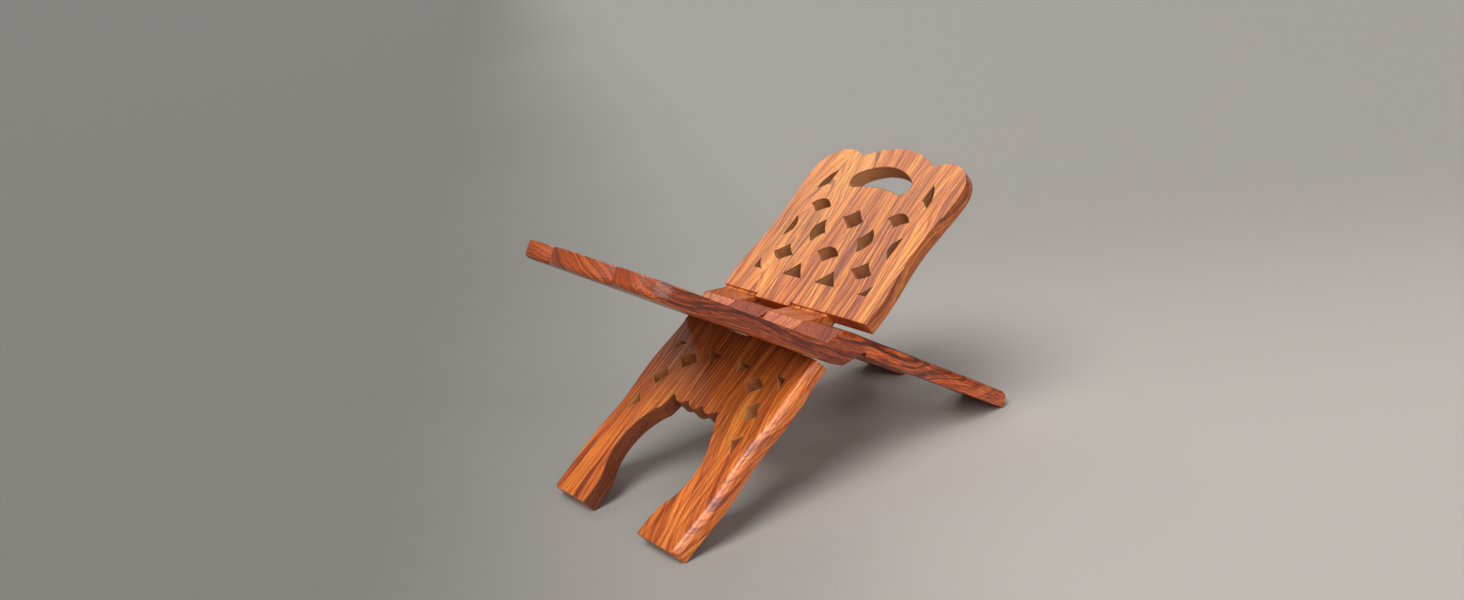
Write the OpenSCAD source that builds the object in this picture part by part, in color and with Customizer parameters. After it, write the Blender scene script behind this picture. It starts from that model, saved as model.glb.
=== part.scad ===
// Folding book stand carved from a single plank.
// Two pierced leaves pass through each other at a row of four knuckles left in the solid wood.
// Each leaf is drawn flat: X along the hinge, Y up the leaf from the hinge line, Z through the
// plank, with Z = 0 on the plank's mid-plane. Its book panel lies below the mid-plane and its
// legs lie above it. The leaf is then tilted about the hinge line.

/* [Plank] */
// Width of the plank at the hinge
plank_w = 145; // [130:1:160]
// Thickness of one leaf, half the plank
leaf_t = 11; // [9:0.1:12]
// Clearance left by the saw between the two folded leaves
split_gap = 0.3; // [0.2:0.1:0.6]

/* [Stance] */
// Angle between each leaf and the table when the stand is open
open_angle = 34.3; // [32:0.1:38]
// Depth planed off the foot edges so that they sit flat
foot_flat = 0.5; // [0.2:0.1:0.8]

/* [Book panel] */
// Height of the middle of the crest above the hinge line
crest_v = 151.8; // [146:0.1:158]
// Mean half width of the panel
panel_half = 73; // [70:0.1:76]
// Half the swing of the panel's wavy sides
panel_wave = 1.8; // [0.5:0.1:2.5]
// Height of the panel's lower swell
panel_swell_v = 32.7; // [28:0.1:36]
// Height of the shoulders, where the sides swell again
shoulder_v = 122; // [118:0.1:126]
// Height of the two outer lobes of the crest
lobe_v = 145.6; // [143:0.1:148]
// Distance of each outer lobe's top from the middle
lobe_u = 51; // [48:0.1:54]
// Distance of each notch of the crest from the middle
notch_u = 35.4; // [33:0.1:38]
// Height of the notches of the crest
notch_v = 141.2; // [139:0.1:142]

/* [Handle] */
// Half length of the hand slot
handle_half = 29; // [26:0.1:31]
// Height of the slot's top at the middle
handle_top_v = 135; // [132:0.1:137]
// Height of the hump in the middle of the slot's lower edge
handle_hump_v = 117.8; // [116:0.1:120]
// Radius of the slot's rounded ends
handle_end_r = 6.4; // [5.5:0.1:7]
// Radius of the slot's upper edge
handle_arch_r = 45; // [42:0.5:50]

/* [Legs] */
// Length of the legs below the hinge line
leg_v = 153.2; // [148:0.1:158]
// Mean half width across the legs
leg_half = 71.5; // [69:0.1:74]
// Half the swing of the legs' wavy sides
leg_wave = 1.1; // [0.3:0.1:1.8]
// Length of one wave of the legs' sides
leg_wave_len = 65; // [60:0.5:72]
// Distance of the legs' first swell below the hinge line
leg_swell_v = 53; // [50:0.5:58]
// Width of the bevel along the outer edges of the legs
leg_bevel = 4; // [2:0.1:5]

/* [Arch] */
// Radius of the arch's round sides
arch_r = 37.8; // [35:0.1:39]
// Distance of the centre of each round side from the middle
arch_c_u = 3.6; // [2:0.1:5]
// Distance of the round sides' centres below the hinge line
arch_c_v = 109; // [107:0.1:112]
// Half width of the arch between the feet
arch_foot_half = 30.8; // [29:0.1:33]
// Height of the tooth on the first side, below the hinge line
tooth_a_v = 79.6; // [78:0.1:84]
// Height of the tooth on the second side, below the hinge line
tooth_b_v = 86; // [80:0.1:88]
// Distance of the scalloped valance below the hinge line
valance_v = 69.6; // [68:0.1:72]

/* [Hinge] */
// Number of knuckles along the hinge
knuckles = 4; // [2:2:8]
// Width of each saw cut between two knuckles
kerf = 0.6; // [0.4:0.1:1]
// Distance from the hinge line to the edges cut from the back face of the plank
back_cut = 19.3; // [17:0.1:21]
// Gap left at the stop when the stand is open
stop_gap = 0.16; // [0.1:0.02:0.3]
// Depth of the saw line left where a knuckle meets its own leaf
saw_line = 2; // [0.5:0.1:3]
// Length by which the saw ran on past the knuckles into the leaves
saw_overrun = 1.8; // [0:0.1:3]

/* [Quality] */
// Straight pieces in each curved side of a cut-out
arc_steps = 8; // [4:1:16]

/* [Hidden] */

// Hinge line above the table
hinge_z = leg_v * sin(open_angle) - foot_flat;
// Distance from the hinge line to the edges cut from the front face; they are the open stop
front_cut = leaf_t / tan(open_angle) + stop_gap;
// Width of one knuckle with half a saw cut on each side
pitch = plank_w / knuckles;

// Knuckle section: the bevel's foot on the mid-plane, its ridge, and where it meets the leg face
bevel_v = front_cut - 0.75;
ridge = [4.8, 0.88 * leaf_t];
heel_v = 5;
bevel_slope = ridge[1] / (bevel_v - ridge[0]);

// Crest arcs
crest_r = (pow(notch_u, 2) + pow(crest_v - notch_v, 2)) / (2 * (crest_v - notch_v));
lobe_r = (pow(lobe_u - notch_u, 2) + pow(lobe_v - notch_v, 2)) / (2 * (lobe_v - notch_v));
shoulder_r = lobe_v - shoulder_v;
panel_wave_len = shoulder_v - panel_swell_v;

// Piercings: corners as [u, v, bulge of the side that follows]; a minus bulge is hollow.
// Each list is the pattern's right half, which is mirrored to the left, or stands on the middle.
PANEL_PAIRS = [
    // crescents beside the handle
    [[47.9, 126.3, 0], [47.9, 114, 0], [55.6, 108.5, 2.2]],
    // upper domes
    [[29.4, 95.5, -0.6], [39.8, 89.6, -0.6], [49.7, 95.5, 5.6]],
    // domes that point to the middle
    [[16.5, 75.2, -0.8], [23.7, 66.4, 6.6], [23.7, 85, -0.8]],
    // half domes at the sides
    [[53.9, 66.4, 0], [54.1, 83.5, 5.4]],
    // lower diamonds
    [[30.6, 53.2, -0.2], [40.3, 47.4, 0.9], [50, 52.8, -0.6], [40.6, 60.8, -0.6]],
    // tents
    [[7.5, 37.8, 0], [27, 37.8, -0.5], [17.3, 48.6, -0.2]],
    // lower corners
    [[50.4, 37.5, 0], [58, 37.5, 0], [58, 45.4, -0.9]]
];
PANEL_MIDDLES = [
    // upper diamond
    [[-10.4, 89.8, -0.2], [1.2, 82.1, 1.2], [10.1, 89.2, -0.5], [-0.2, 97.6, -0.8]],
    // lower dome
    [[-10.7, 60.2, -0.5], [0.4, 53.6, -0.5], [10.7, 60.1, 5.5]]
];
LEG_PAIRS = [
    // upper corners
    [[48.3, -34.4, -0.8], [57.7, -42, 0], [57.7, -34.4, 0]],
    // hanging points
    [[9.4, -33.8, 0.2], [14.5, -41.3, 0.2], [23.2, -33.8, 0]],
    // domes
    [[26.1, -44.4, -0.4], [35.9, -51.4, -0.4], [45, -44.6, 4.6]],
    // diamonds
    [[43.2, -58.8, -0.3], [48.6, -67.5, 0.4], [56.6, -62.4, 0], [50.1, -53.4, 0]],
    // side points
    [[50.3, -81.5, -0.3], [57.4, -89.3, 0], [57.4, -75.5, -0.3]]
];
// Valance cusps: distances from the middle and sags of the scallops between them
CUSPS = [-23.2, -7.9, 7.2, 22.4];
SAGS = [3.3, 4.1, 3.3];

// Points of a circular arc about a centre, from angle a to angle b
function arc(c, r, a, b, n) =
    [for (i = [0:n]) c + r * [cos(a + (b - a) * i / n), sin(a + (b - a) * i / n)]];

// Points from p towards q along a side that bulges to its right by s; q is left out
function side(p, q, s, n) =
    abs(s) < 0.05 ? [p] :
    let (d = q - p, len = norm(d), nrm = [d[1], -d[0]] / len)
    [for (i = [0:n - 1]) let (t = i / n) p + d * t + nrm * (4 * s * t * (1 - t))];

// Closed outline from corners with bulges
function bulged(c) =
    [for (i = [0:len(c) - 1])
        let (a = c[i], b = c[(i + 1) % len(c)])
        each side([a[0], a[1]], [b[0], b[1]], a[2], arc_steps)];

function mirrored(pts) = [for (i = [len(pts) - 1:-1:0]) [-pts[i][0], pts[i][1]]];

function panel_edge(v) = panel_half + panel_wave * cos(360 * (v - panel_swell_v) / panel_wave_len);
function leg_edge(v) = leg_half + leg_wave * cos(360 * (v + leg_swell_v) / leg_wave_len);

// Right half of the panel's outline, from the bottom corner to the middle of the crest
function panel_right(v0) =
    let (lobe_a = 90 + asin((lobe_u - notch_u) / lobe_r),
         crest_a = 90 - asin(notch_u / crest_r),
         rx = panel_half + panel_wave - lobe_u)
    concat(
        [for (i = [0:14]) let (v = v0 + (shoulder_v - v0) * i / 15) [panel_edge(v), v]],
        [for (a = [0:7.5:82.5]) [lobe_u + rx * cos(a), shoulder_v + shoulder_r * sin(a)]],
        arc([lobe_u, lobe_v - lobe_r], lobe_r, 90, lobe_a, 5),
        arc([0, crest_v - crest_r], crest_r, crest_a + 3, 90, 9));

module panel_outline(v0) {
    right = panel_right(v0);
    polygon(concat(right, mirrored(right)));
}

// Kidney-shaped hand slot
module handle_slot() {
    end_u = handle_half - handle_end_r;
    end_v = handle_hump_v - 2.9 + handle_end_r;
    arch_c = handle_top_v - handle_arch_r;
    top_a = acos((end_u + 0.6) / handle_arch_r);
    hump_r = (pow(end_u, 2) + pow(2.9, 2)) / (2 * 2.9);
    hump_a = asin(end_u / hump_r);
    right = concat(
        arc([end_u, end_v], handle_end_r, -90, 52, 9),
        arc([0, arch_c], handle_arch_r, top_a, 90, 8));
    polygon(concat(
        right,
        mirrored(right),
        arc([0, handle_hump_v - hump_r], hump_r, 90 + hump_a - 3, 90 - hump_a + 3, 8)));
}

module piercings(pairs, middles) {
    for (c = pairs) {
        polygon(bulged(c));
        mirror([1, 0]) polygon(bulged(c));
    }
    for (c = middles) polygon(bulged(c));
}

// Legs from the cut below the hinge to the feet
module leg_outline(v0) {
    r = 2;
    right = concat(
        [for (i = [0:16]) let (v = -v0 - (leg_v - r - v0) * i / 16) [leg_edge(v), v]],
        arc([leg_edge(-leg_v) - r, -leg_v + r], r, -15, -90, 4));
    polygon(concat(right, mirrored(right)));
}

// One round side of the arch from its foot up to its tooth
function arch_side(tooth_v) =
    let (c = [arch_c_u, -arch_c_v],
         tooth_a = asin((arch_c_v - tooth_v) / arch_r),
         low_a = -28,
         low = c + arch_r * [cos(low_a), sin(low_a)],
         foot = [arch_foot_half, -leg_v - 1],
         knee = [arch_foot_half + 0.8, -leg_v + 14])
    concat(
        [foot, [arch_foot_half + 0.2, -leg_v + 7], knee],
        side(knee, low, -0.8, 4),
        arc(c, arch_r, low_a, tooth_a, 14));

// Scalloped underside of the valance from right to left
function valance() =
    [for (i = [2:-1:0])
        each side([CUSPS[i + 1], -valance_v], [CUSPS[i], -valance_v], -SAGS[i], arc_steps)];

module arch_opening() {
    polygon(concat(
        arch_side(tooth_b_v),
        [[CUSPS[3] + 1.4, -valance_v - 0.2]],
        valance(),
        [[CUSPS[0], -valance_v], [CUSPS[0] - 1.4, -valance_v - 0.2]],
        mirrored(arch_side(tooth_a_v))));
}

// Saw cuts that run on past the knuckles
module saw_overruns(edge_v, dir) {
    for (k = [1:knuckles - 1])
        translate([-plank_w / 2 + k * pitch - kerf / 2, edge_v - (dir < 0 ? saw_overrun : 0.5)])
            square([kerf, saw_overrun + 0.5]);
}

// Section of a leaf's own knuckle in the plane across the hinge
module knuckle_section(panel_cut, leg_cut) {
    panel_dip = min(saw_line, (panel_cut - bevel_v) * bevel_slope);
    leg_dip = min(saw_line, (leg_cut - bevel_v) * bevel_slope);
    lap = 3;
    polygon([
        [panel_cut + lap, -leaf_t],
        [panel_cut + lap, -split_gap / 2],
        [panel_cut, -split_gap / 2],
        [panel_cut, -panel_dip],
        [bevel_v + panel_dip / bevel_slope, -panel_dip],
        ridge,
        [-heel_v, leaf_t],
        [-leg_cut - lap, leaf_t],
        [-leg_cut - lap, split_gap / 2],
        [-leg_cut, split_gap / 2],
        [-leg_cut, leg_dip],
        [-bevel_v - leg_dip / bevel_slope, leg_dip],
        -ridge,
        [heel_v, -leaf_t]
    ]);
}

// A leaf keeps every other knuckle, starting at its own left end
module own_knuckles(panel_cut, leg_cut) {
    for (k = [0:2:knuckles - 1]) {
        start = -plank_w / 2 + k * pitch + (k == 0 ? 0 : kerf / 2);
        end = -plank_w / 2 + (k + 1) * pitch - kerf / 2;
        translate([start, 0, 0])
            rotate([90, 0, 90])
                linear_extrude(end - start) knuckle_section(panel_cut, leg_cut);
    }
}

module book_panel(panel_cut) {
    translate([0, 0, -leaf_t])
        linear_extrude(leaf_t - split_gap / 2)
            difference() {
                panel_outline(panel_cut);
                handle_slot();
                piercings(PANEL_PAIRS, PANEL_MIDDLES);
                saw_overruns(panel_cut, 1);
            }
}

// Bevelled section across the legs
module leg_section() {
    wide = leg_half + leg_wave;
    polygon([
        [-wide - 1, 0],
        [wide + 1, 0],
        [wide + 1, leaf_t - leg_bevel - 1],
        [wide - leg_bevel, leaf_t],
        [-wide + leg_bevel, leaf_t],
        [-wide - 1, leaf_t - leg_bevel - 1]
    ]);
}

module legs(leg_cut) {
    intersection() {
        translate([0, 0, split_gap / 2])
            linear_extrude(leaf_t - split_gap / 2)
                difference() {
                    leg_outline(leg_cut);
                    arch_opening();
                    piercings(LEG_PAIRS, []);
                    saw_overruns(-leg_cut, -1);
                }
        rotate([90, 0, 0])
            linear_extrude(leg_v + 1) leg_section();
    }
}

// One leaf lying flat, hinge line on the X axis
module leaf(panel_cut, leg_cut) {
    book_panel(panel_cut);
    own_knuckles(panel_cut, leg_cut);
    legs(leg_cut);
}

// Leaf tilted to its open angle, standing on planed feet
module standing_leaf(panel_cut, leg_cut) {
    difference() {
        translate([0, 0, hinge_z])
            rotate([open_angle, 0, 0])
                leaf(panel_cut, leg_cut);
        translate([-plank_w, -2 * leg_v, -10])
            cube([2 * plank_w, 4 * leg_v, 10]);
    }
}

// Leaf whose book panel leans to the back and whose legs stand in front
module rear_leaf() {
    color("chocolate")
        standing_leaf(back_cut, front_cut);
}

// Leaf whose book panel leans to the front and whose legs stand behind
module front_leaf() {
    color("sienna")
        rotate([0, 0, 180])
            standing_leaf(front_cut, back_cut);
}

front_leaf();
rear_leaf();
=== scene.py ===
"""Folding book stand: two pierced leaves carved from one rosewood plank.

Each leaf is made flat, in its own u, v, w: u along the hinge, v up the leaf from the hinge line
and w through the plank, with w = 0 on the plank's mid-plane. The wood's figure is laid in the
same directions, so the grain runs from the feet to the crest of each leaf.
"""

import logging
import math
import random
from dataclasses import dataclass, field
from enum import Enum
from typing import Iterable, Optional, Sequence

import bmesh
import bpy
from mathutils import Matrix, Vector, geometry

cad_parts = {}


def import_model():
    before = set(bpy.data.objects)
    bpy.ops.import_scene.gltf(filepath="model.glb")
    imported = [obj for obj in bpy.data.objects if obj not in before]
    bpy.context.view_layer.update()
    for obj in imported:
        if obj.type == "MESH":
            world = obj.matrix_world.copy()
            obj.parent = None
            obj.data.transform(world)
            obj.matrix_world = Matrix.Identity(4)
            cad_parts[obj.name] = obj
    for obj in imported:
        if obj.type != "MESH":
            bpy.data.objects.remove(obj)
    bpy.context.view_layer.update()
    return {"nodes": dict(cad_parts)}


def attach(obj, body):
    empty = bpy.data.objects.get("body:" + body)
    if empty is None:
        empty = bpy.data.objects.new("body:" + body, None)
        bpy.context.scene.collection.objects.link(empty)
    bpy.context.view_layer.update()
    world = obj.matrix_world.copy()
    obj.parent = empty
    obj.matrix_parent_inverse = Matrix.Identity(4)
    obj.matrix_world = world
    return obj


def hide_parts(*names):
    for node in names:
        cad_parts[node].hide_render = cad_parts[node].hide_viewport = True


LOG = logging.getLogger("book_stand")
Point = tuple[float, float]
Colour = tuple[float, float, float]
Corner = tuple[float, float, float]
Triple = tuple[float, float, float]

MM = 0.001  # one millimetre in metres
WELD = 1e-7  # points this near, in metres, are one point
SLIVER = 4e-6  # chips and gaps up to this size, in metres, are closed after sawing
SAME_POINT = 0.02  # points of an outline this near, in mm, are one point
LEVEL = 0.01  # a point this near a straight cut, in mm, lies on it
CORNER_SPARE = 0.5  # straight wood left beside an eased corner, in mm
SHALLOW = 0.05  # a side that bulges less than this, in mm, is drawn straight
WIDE_EASE = 1.5  # from this radius up, in mm, an eased edge is made in fine steps
MITRE_LIMIT = 2.2  # how far a point may move into the wood, in depths of its edges
NEAR_STRAIGHT = 0.08  # two edges that turn by less than this have no mitre
SHARP_DEGREES = 32.0  # faces that meet at a larger angle keep a crisp edge
FACE_WEIGHT = 90  # how far the large faces rule the shading of the eased edges
FRET_STEPS = 8  # straight pieces in a curved side of a small opening
FRET_EASE = 0.4  # worn rim of a small opening, in mm
FRET_WOBBLE = 0.10  # how far the fret saw strayed, in mm


class Surface(Enum):
    """How a face of a leaf was worked; the value is its material slot."""

    PLANED = 0
    FRETTED = 1
    ARCH = 2


class Side(Enum):
    """Which way a leaf's book panel leans."""

    REAR = 0
    FRONT = 1


# ---------------------------------------------------------------------------------------------
# Drawing
# ---------------------------------------------------------------------------------------------


def arc(centre: Point, radius: float, start: float, end: float, steps: int) -> list[Point]:
    """Points of a circular arc.

    Args:
        centre: Centre of the arc.
        radius: Its radius.
        start: First angle in degrees.
        end: Last angle in degrees.
        steps: Number of straight pieces.

    Returns:
        The arc's points, both ends included.
    """
    points = []
    for i in range(steps + 1):
        a = math.radians(start + (end - start) * i / steps)
        points.append((centre[0] + radius * math.cos(a), centre[1] + radius * math.sin(a)))
    return points


def bowed(p: Point, q: Point, sag: float, steps: int) -> list[Point]:
    """Points from p towards q along a side that bulges to its right.

    Args:
        p: Start of the side.
        q: End of the side, which is left out.
        sag: Height of the bulge; a minus value is hollow.
        steps: Number of straight pieces in a curved side.

    Returns:
        The side's points without the last.
    """
    if abs(sag) < SHALLOW:
        return [p]
    d = (q[0] - p[0], q[1] - p[1])
    length = math.hypot(*d)
    out = (d[1] / length, -d[0] / length)
    points = []
    for i in range(steps):
        t = i / steps
        rise = 4 * sag * t * (1 - t)
        points.append((p[0] + d[0] * t + out[0] * rise, p[1] + d[1] * t + out[1] * rise))
    return points


def cut_out(corners: Sequence[Corner], steps: int) -> list[Point]:
    """Closed outline from corners that each carry the bulge of the side that follows.

    Args:
        corners: Corners as u, v and bulge.
        steps: Number of straight pieces in a curved side.

    Returns:
        The outline's points.
    """
    points: list[Point] = []
    for a, b in zip(corners, [*corners[1:], corners[0]]):
        points += bowed((a[0], a[1]), (b[0], b[1]), a[2], steps)
    return points


def mirrored(points: Iterable[Point]) -> list[Point]:
    """The same points on the other side of the middle, in the other order."""
    return [(-u, v) for u, v in reversed(list(points))]


def signed_area(points: Sequence[Point]) -> float:
    """Area of an outline, positive where it runs counter-clockwise."""
    pairs = zip(points, [*points[1:], points[0]])
    return sum(p[0] * q[1] - q[0] * p[1] for p, q in pairs) / 2


def tidied(points: Sequence[Point]) -> list[Point]:
    """The outline without repeated points, counter-clockwise.

    Args:
        points: A closed outline.

    Returns:
        The cleaned outline.
    """
    kept: list[Point] = []
    for p in points:
        if not kept or math.dist(p, kept[-1]) > SAME_POINT:
            kept.append(p)
    if math.dist(kept[0], kept[-1]) <= SAME_POINT:
        kept.pop()
    return kept if signed_area(kept) > 0 else kept[::-1]


def filleted(points: Sequence[Point], radii: Sequence[float], steps: int) -> list[Point]:
    """An outline with its corners rounded.

    Args:
        points: A closed counter-clockwise outline.
        radii: The radius at each corner; nought leaves it sharp.
        steps: Number of straight pieces in each rounded corner.

    Returns:
        The rounded outline.
    """
    made: list[Point] = []
    count = len(points)
    for i, (p, radius) in enumerate(zip(points, radii)):
        if radius <= 0:
            made.append(p)
            continue
        here = Vector(p)
        to_last = (Vector(points[i - 1]) - here).normalized()
        to_next = (Vector(points[(i + 1) % count]) - here).normalized()
        half = to_last.angle(to_next) / 2
        reach = radius / math.tan(half)
        middle = here + (to_last + to_next).normalized() * (radius / math.sin(half))
        first, last = here + to_last * reach - middle, here + to_next * reach - middle
        turn = first.angle_signed(last)
        for k in range(steps + 1):
            a = -turn * k / steps
            c, s = math.cos(a), math.sin(a)
            spoke = Vector((first.x * c - first.y * s, first.x * s + first.y * c))
            made.append(tuple(middle + spoke))
    return made


def inset(points: Sequence[Point], depths: Sequence[float], void: bool) -> list[Point]:
    """Each point moved into the wood by the depths of the two edges that meet there.

    Args:
        points: A closed counter-clockwise outline.
        depths: The depth of each edge, the first from the first point to the second.
        void: True where the outline is that of an opening.

    Returns:
        The moved points.
    """
    count = len(points)
    turn = -1.0 if void else 1.0
    normals = []
    for p, q in zip(points, [*points[1:], points[0]]):
        length = max(math.dist(p, q), 1e-9)
        normals.append((-turn * (q[1] - p[1]) / length, turn * (q[0] - p[0]) / length))
    moved = []
    for i, p in enumerate(points):
        (ax, ay), (bx, by) = normals[i - 1], normals[i]
        a, b = depths[i - 1], depths[i]
        det = ax * by - ay * bx
        if abs(det) < NEAR_STRAIGHT:
            step = Vector((ax + bx, ay + by)).normalized() * ((a + b) / 2)
        else:
            step = Vector(((a * by - b * ay) / det, (ax * b - bx * a) / det))
        limit = MITRE_LIMIT * max(a, b)
        if step.length > limit:
            step = step.normalized() * limit
        moved.append((p[0] + step.x, p[1] + step.y))
    # Edges that turned round are closed up to a point; three rounds settle them.
    for _ in range(3):
        for i in range(count):
            j = (i + 1) % count
            was = (points[j][0] - points[i][0], points[j][1] - points[i][1])
            now = (moved[j][0] - moved[i][0], moved[j][1] - moved[i][1])
            if was[0] * now[0] + was[1] * now[1] < 0:
                middle = ((moved[i][0] + moved[j][0]) / 2, (moved[i][1] + moved[j][1]) / 2)
                moved[i] = moved[j] = middle
    return moved


# ---------------------------------------------------------------------------------------------
# Solids
# ---------------------------------------------------------------------------------------------


@dataclass
class Outline:
    """One closed line round the wood or round an opening in it.

    Each edge has the radius to which it is eased on the low and on the high face, and the
    surface that its wall gets.
    """

    points: list[Point]
    low_ease: list[float]
    high_ease: list[float]
    walls: list[Surface]
    void: bool = False
    wobble: float = 0.0

    @classmethod
    def plain(
        cls, points: list[Point], ease: float, wall: Surface, void: bool, wobble: float
    ) -> "Outline":
        """An outline with the same easing and wall all round.

        Args:
            points: A closed counter-clockwise outline.
            ease: Radius of its eased edges.
            wall: Surface of its wall.
            void: True for an opening.
            wobble: How far the tool strayed from the line.

        Returns:
            The outline.
        """
        n = len(points)
        return cls(points, [ease] * n, [ease] * n, [wall] * n, void, wobble)

    def rings(self, low: float, high: float, rng: random.Random) -> list[list[Vector]]:
        """Loops of points from the low face to the high face, with eased edges.

        Args:
            low: Height of the low face.
            high: Height of the high face.
            rng: Source of the tool's wobble.

        Returns:
            The loops, in order of height.
        """
        count = len(self.points)
        stray = [rng.uniform(-1, 1) * self.wobble for _ in range(count)]
        path = self.points
        if self.wobble:
            pushed = inset(path, [1.0] * count, self.void)
            path = [
                (p[0] + (q[0] - p[0]) * s, p[1] + (q[1] - p[1]) * s)
                for p, q, s in zip(path, pushed, stray)
            ]
        made = []
        for ease, face, up in ((self.low_ease, low, 1), (self.high_ease, high, -1)):
            full = inset(path, ease, self.void)
            steps = 6 if max(ease) > WIDE_EASE else 2
            turns = [k / steps * math.pi / 2 for k in range(steps + 1)]
            loops = []
            for a in turns:
                share = 1 - math.sin(a)
                loop = []
                for i, (p, q) in enumerate(zip(path, full)):
                    radius = max(ease[i - 1], ease[i])
                    x = p[0] + (q[0] - p[0]) * share
                    y = p[1] + (q[1] - p[1]) * share
                    loop.append(Vector((x, y, face + up * radius * (1 - math.cos(a)))))
                loops.append(loop)
            made += loops if up > 0 else loops[::-1]
        return made


def fretted(points: list[Point]) -> Outline:
    """The outline of a small opening sawn by hand."""
    return Outline.plain(tidied(points), FRET_EASE, Surface.FRETTED, True, FRET_WOBBLE)


def new_mesh(name: str, bm: bmesh.types.BMesh) -> bpy.types.Object:
    """A linked object from a finished bmesh, which is freed.

    Args:
        name: Name of the object.
        bm: Its mesh.

    Returns:
        The object.
    """
    bmesh.ops.remove_doubles(bm, verts=bm.verts, dist=WELD)
    bmesh.ops.recalc_face_normals(bm, faces=bm.faces)
    mesh = bpy.data.meshes.new(name)
    bm.to_mesh(mesh)
    bm.free()
    obj = bpy.data.objects.new(name, mesh)
    bpy.context.scene.collection.objects.link(obj)
    return obj


def slab(
    name: str,
    outlines: Sequence[Outline],
    low: float,
    high: float,
    across: bool = False,
    seed: int = 0,
) -> bpy.types.Object:
    """A flat piece of wood with eased edges and openings.

    Args:
        name: Name of the object.
        outlines: The outer line first, then the openings.
        low: Height of the low face in mm.
        high: Height of the high face in mm.
        across: True where the outline is a section across the hinge, drawn as v and w.
        seed: Seed of the tool's wobble.

    Returns:
        The closed solid, in metres.
    """
    rng = random.Random(seed)
    bm = bmesh.new()

    def place(p: Vector) -> Vector:
        """The point in the leaf's own u, v and w, in metres."""
        return Vector((p.z, p.x, p.y)) * MM if across else p * MM

    low_loops, high_loops = [], []
    low_verts: list[bmesh.types.BMVert] = []
    high_verts: list[bmesh.types.BMVert] = []
    for outline in outlines:
        rings = outline.rings(low, high, rng)
        grid = [[bm.verts.new(place(p)) for p in ring] for ring in rings]
        count = len(outline.points)
        for below, above in zip(grid, grid[1:]):
            for i in range(count):
                j = (i + 1) % count
                face = bm.faces.new((below[i], below[j], above[j], above[i]))
                face.material_index = outline.walls[i].value
                face.smooth = True
        low_loops.append([Vector((p.x, p.y, 0)) for p in rings[0]])
        high_loops.append([Vector((p.x, p.y, 0)) for p in rings[-1]])
        low_verts += grid[0]
        high_verts += grid[-1]
    for loops, verts in ((low_loops, low_verts), (high_loops, high_verts)):
        for a, b, c in geometry.tessellate_polygon(loops):
            if len({a, b, c}) == 3:
                face = bm.faces.new((verts[a], verts[b], verts[c]))
                face.smooth = True
    return new_mesh(name, bm)


def block(name: str, corners: Sequence[Vector]) -> bpy.types.Object:
    """A six-sided cutter.

    Args:
        name: Name of the object.
        corners: Its eight corners, the low four and then the high four.

    Returns:
        The cutter.
    """
    bm = bmesh.new()
    v = [bm.verts.new(c) for c in corners]
    sides = [(i, (i + 1) % 4, (i + 1) % 4 + 4, i + 4) for i in range(4)]
    for ring in ((0, 1, 2, 3), (4, 5, 6, 7), *sides):
        bm.faces.new([v[i] for i in ring])
    return new_mesh(name, bm)


def worked(
    base: bpy.types.Object, tools: Sequence[bpy.types.Object], operation: str
) -> bpy.types.Object:
    """Joins pieces to a solid or cuts them from it, and removes them.

    Args:
        base: The solid.
        tools: The pieces.
        operation: UNION or DIFFERENCE.

    Returns:
        The solid with its new mesh.
    """
    for tool in tools:
        step = base.modifiers.new("work", "BOOLEAN")
        step.operation = operation
        step.solver = "EXACT"
        step.object = tool
    graph = bpy.context.evaluated_depsgraph_get()
    graph.update()
    made = bpy.data.meshes.new_from_object(base.evaluated_get(graph))
    base.modifiers.clear()
    base.data = made
    for tool in tools:
        bpy.data.objects.remove(tool)
    return base


def made_sound(bm: bmesh.types.BMesh) -> None:
    """Clears the slivers that joining and sawing leave, and closes the skin over them.

    Args:
        bm: The mesh, which is changed in place.
    """
    bmesh.ops.remove_doubles(bm, verts=bm.verts, dist=SLIVER)
    bmesh.ops.dissolve_degenerate(bm, edges=bm.edges, dist=SLIVER)
    bmesh.ops.triangulate(bm, faces=bm.faces)
    # Flaps that hang from a crowded edge go first, then the gaps are closed. On the last try
    # every face on a crowded edge goes.
    for last_try in (False, True):
        for _ in range(4):
            crowded = {e for e in bm.edges if len(e.link_faces) > 2}
            flaps = [
                f
                for f in bm.faces
                if any(e in crowded for e in f.edges)
                and (last_try or any(e.is_boundary for e in f.edges))
            ]
            if not flaps:
                break
            bmesh.ops.delete(bm, geom=flaps, context="FACES")
        twins = [f for f in bm.faces if all(len(e.link_faces) > 2 for e in f.edges)]
        bmesh.ops.delete(bm, geom=twins, context="FACES")
        open_edges = [e for e in bm.edges if e.is_boundary]
        if not open_edges:
            break
        closed = bmesh.ops.holes_fill(bm, edges=open_edges, sides=0)["faces"]
        bmesh.ops.triangulate(bm, faces=closed)
        open_edges = [e for e in bm.edges if e.is_boundary]
        bmesh.ops.triangle_fill(bm, edges=open_edges, use_beauty=True)
    loose = [v for v in bm.verts if not v.link_faces]
    bmesh.ops.delete(bm, geom=loose, context="VERTS")
    bmesh.ops.recalc_face_normals(bm, faces=bm.faces)
    LOG.info(
        "skin: %d open edges, %d crowded edges",
        sum(e.is_boundary for e in bm.edges),
        sum(len(e.link_faces) > 2 for e in bm.edges),
    )


# ---------------------------------------------------------------------------------------------
# Finishes
# ---------------------------------------------------------------------------------------------


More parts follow.
